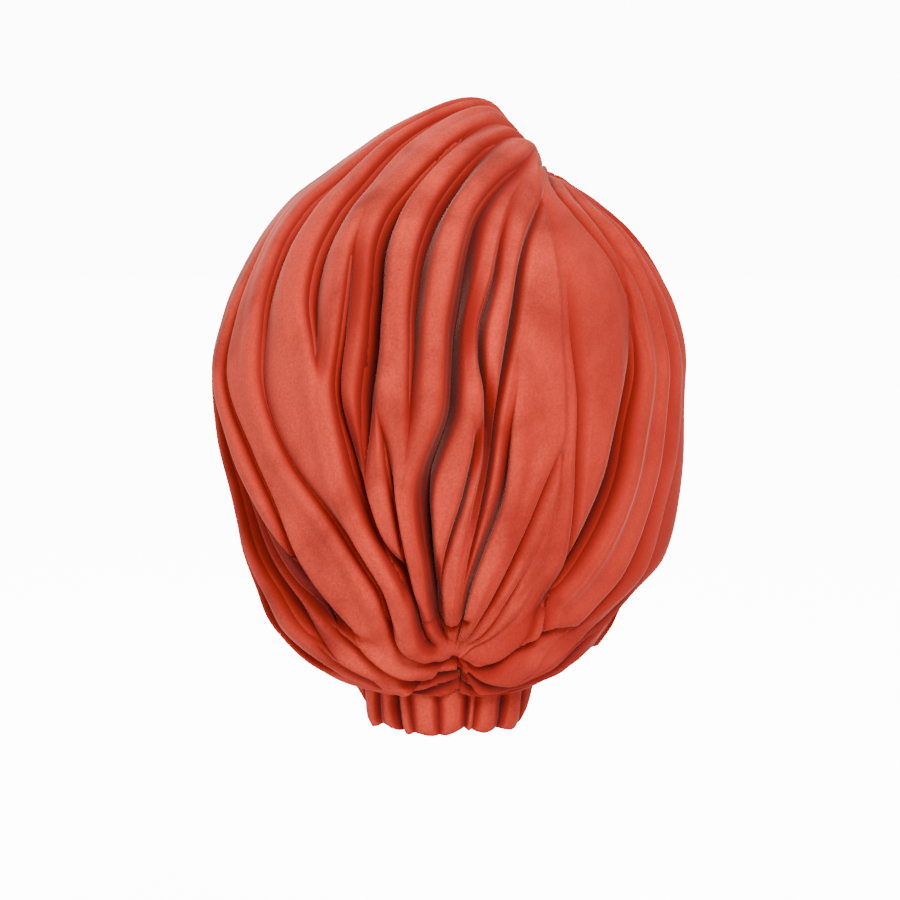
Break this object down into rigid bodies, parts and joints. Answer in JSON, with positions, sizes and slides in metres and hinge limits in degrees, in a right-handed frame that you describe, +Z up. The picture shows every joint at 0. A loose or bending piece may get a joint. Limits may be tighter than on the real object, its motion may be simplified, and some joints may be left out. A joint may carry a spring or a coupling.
{
  "type": "turban hat",
  "caption": "Soft pile-cloth turban hat: two wraps of deep folds pinched at the crown and gathered at the nape, over a gathered edge band.",
  "frame": {"origin": "middle of the head opening, between the brow hem and the nape band", "axes": "+Z up with the head level, -Y the wearer's front, +X the wearer's left"},
  "size_m": [0.2116, 0.2296, 0.2737],
  "materials": {
    "left_wrap": "matte short pile with a soft edge sheen",
    "right_wrap": "matte short pile with a soft edge sheen",
    "edge_band": "matte short pile, gathered"
  },
  "bodies": {
    "root": {"left_wrap": "left_wrap", "right_wrap": "right_wrap", "edge_band": "edge_band"}
  },
  "joints": []
}
